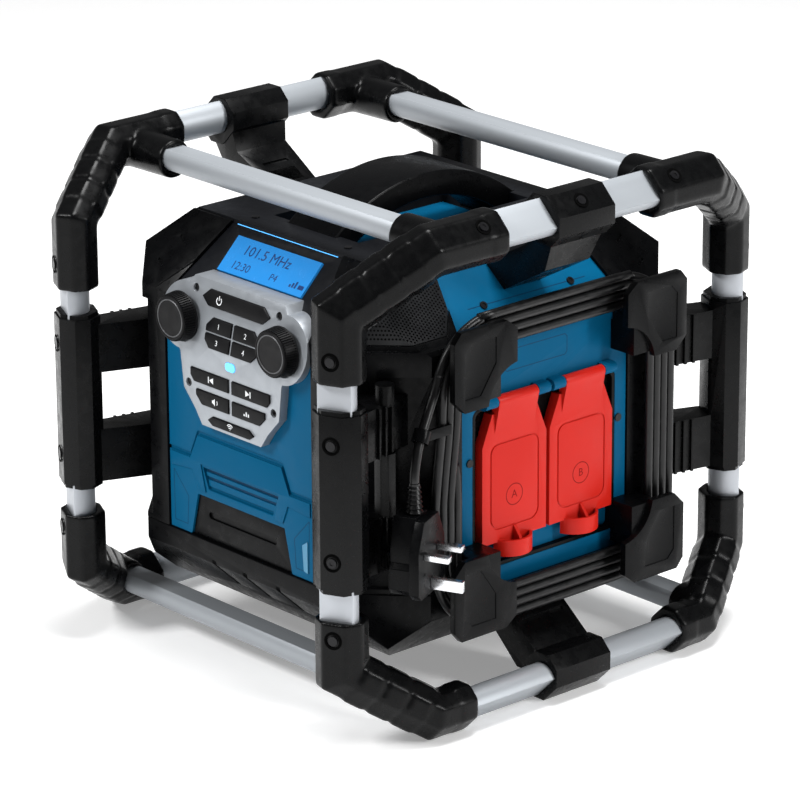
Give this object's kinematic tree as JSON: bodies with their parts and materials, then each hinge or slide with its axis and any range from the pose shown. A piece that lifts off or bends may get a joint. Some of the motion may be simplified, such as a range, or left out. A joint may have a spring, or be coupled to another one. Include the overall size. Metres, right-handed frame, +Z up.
{
  "type": "jobsite radio",
  "caption": "Jobsite radio with an octagonal body in a tube-and-elbow roll cage, control panel with knobs and display, lidded mains outlets and a wound cord with plug.",
  "frame": {"origin": "middle of the footprint on the floor, under the cage", "axes": "+Z up, the control panel faces -Y, the power outlets face +X"},
  "size_m": [0.3809, 0.3894, 0.3574],
  "materials": {
    "black_rubber": "matt moulded rubber",
    "black_plastic": "fine grain, matt",
    "dark_plastic": "fine grain, matt",
    "blue_plastic": "fine grain, satin",
    "grey_plate": "metallic paint, satin",
    "brushed_tube": "anodised, satin",
    "red_plastic": "satin",
    "pin_steel": "plain",
    "display": "clear window over a blue display",
    "cord_rubber": "matt cord sheath",
    "screw_black": "blackened steel",
    "mesh_metal": "black perforated sheet",
    "board_green": "circuit board"
  },
  "bodies": {
    "radio": {"elbow_top_front_right": "black_rubber", "elbow_top_front_left": "black_rubber", "elbow_top_back_right": "black_rubber", "elbow_top_back_left": "black_rubber", "elbow_low_front_right": "black_rubber", "elbow_low_front_left": "black_rubber", "elbow_low_back_right": "black_rubber", "elbow_low_back_left": "black_rubber", "cage_posts": "brushed_tube", "side_bars": "brushed_tube", "cross_tubes": "brushed_tube", "post_sleeves": "black_rubber", "bar_clamps": "black_rubber", "handle": "black_rubber", "cage_screws": "screw_black", "body_screws": "screw_black", "base": "black_plastic", "corner_bumpers": "black_plastic", "subwoofer_plate": "black_plastic", "outlet_tray": "black_plastic", "cord_brackets": "black_plastic", "cord_gland": "black_plastic", "cord_clip": "black_plastic", "mains_plug": "black_plastic", "main_housing": "dark_plastic", "top_cover": "dark_plastic", "battery_pack": "dark_plastic", "power_supply": "dark_plastic", "speaker_drivers": "dark_plastic", "subwoofer_driver": "dark_plastic", "front_panel": "blue_plastic", "right_panel": "blue_plastic", "left_panel": "blue_plastic", "back_panel": "blue_plastic", "speaker_grilles": "mesh_metal", "display_window": "display", "status_light": "display", "control_plate": "grey_plate", "hinge_pins": "pin_steel", "plug_pins": "pin_steel", "cord_winding": "cord_rubber", "cord_tail": "cord_rubber", "plug_relief": "cord_rubber", "circuit_board": "board_green"},
    "knob_left": {"knob_left": "black_plastic"},
    "knob_right": {"knob_right": "black_plastic"},
    "outlet_cover_a": {"outlet_cover_a": "red_plastic"},
    "outlet_cover_b": {"outlet_cover_b": "red_plastic"},
    "battery_door": {"battery_door": "black_plastic"},
    "media_door": {"media_door": "black_plastic"},
    "power_button": {"power_button": "dark_plastic"},
    "preset_button_1": {"preset_button_1": "dark_plastic"},
    "preset_button_2": {"preset_button_2": "dark_plastic"},
    "preset_button_3": {"preset_button_3": "dark_plastic"},
    "preset_button_4": {"preset_button_4": "dark_plastic"},
    "previous_button": {"previous_button": "dark_plastic"},
    "next_button": {"next_button": "dark_plastic"},
    "mute_button": {"mute_button": "dark_plastic"},
    "equaliser_button": {"equaliser_button": "dark_plastic"},
    "wireless_button": {"wireless_button": "dark_plastic"}
  },
  "joints": [
    {"name": "knob_left_turn", "type": "hinge", "parent": "radio", "child": "knob_left", "pos_m": [-0.0525, -0.16, 0.25097], "axis": [0, -1, 0], "continuous": true},
    {"name": "knob_right_turn", "type": "hinge", "parent": "radio", "child": "knob_right", "pos_m": [0.0525, -0.16, 0.25097], "axis": [0, -1, 0], "continuous": true},
    {"name": "power_button_press", "type": "slide", "parent": "radio", "child": "power_button", "axis": [0, 1, 0], "range_m": [0, 0.001], "stiffness_N_per_m": 300},
    {"name": "preset_button_1_press", "type": "slide", "parent": "radio", "child": "preset_button_1", "axis": [0, 1, 0], "range_m": [0, 0.001], "stiffness_N_per_m": 300},
    {"name": "preset_button_2_press", "type": "slide", "parent": "radio", "child": "preset_button_2", "axis": [0, 1, 0], "range_m": [0, 0.001], "stiffness_N_per_m": 300},
    {"name": "preset_button_3_press", "type": "slide", "parent": "radio", "child": "preset_button_3", "axis": [0, 1, 0], "range_m": [0, 0.001], "stiffness_N_per_m": 300},
    {"name": "preset_button_4_press", "type": "slide", "parent": "radio", "child": "preset_button_4", "axis": [0, 1, 0], "range_m": [0, 0.001], "stiffness_N_per_m": 300},
    {"name": "previous_button_press", "type": "slide", "parent": "radio", "child": "previous_button", "axis": [0, 1, 0], "range_m": [0, 0.001], "stiffness_N_per_m": 300},
    {"name": "next_button_press", "type": "slide", "parent": "radio", "child": "next_button", "axis": [0, 1, 0], "range_m": [0, 0.001], "stiffness_N_per_m": 300},
    {"name": "mute_button_press", "type": "slide", "parent": "radio", "child": "mute_button", "axis": [0, 1, 0], "range_m": [0, 0.001], "stiffness_N_per_m": 300},
    {"name": "equaliser_button_press", "type": "slide", "parent": "radio", "child": "equaliser_button", "axis": [0, 1, 0], "range_m": [0, 0.001], "stiffness_N_per_m": 300},
    {"name": "wireless_button_press", "type": "slide", "parent": "radio", "child": "wireless_button", "axis": [0, 1, 0], "range_m": [0, 0.001], "stiffness_N_per_m": 300},
    {"name": "outlet_cover_a_hinge", "type": "hinge", "parent": "radio", "child": "outlet_cover_a", "pos_m": [0.1478, -0.031, 0.21497], "axis": [0, -1, 0], "range_deg": [0, 95]},
    {"name": "outlet_cover_b_hinge", "type": "hinge", "parent": "radio", "child": "outlet_cover_b", "pos_m": [0.1478, 0.031, 0.21497], "axis": [0, -1, 0], "range_deg": [0, 95]},
    {"name": "battery_door_hinge", "type": "hinge", "parent": "radio", "child": "battery_door", "pos_m": [0, 0.1528, 0.10597], "axis": [-1, 0, 0], "range_deg": [0, 100]},
    {"name": "media_door_hinge", "type": "hinge", "parent": "radio", "child": "media_door", "pos_m": [-0.1478, 0, 0.13997], "axis": [0, -1, 0], "range_deg": [0, 100]}
  ]
}
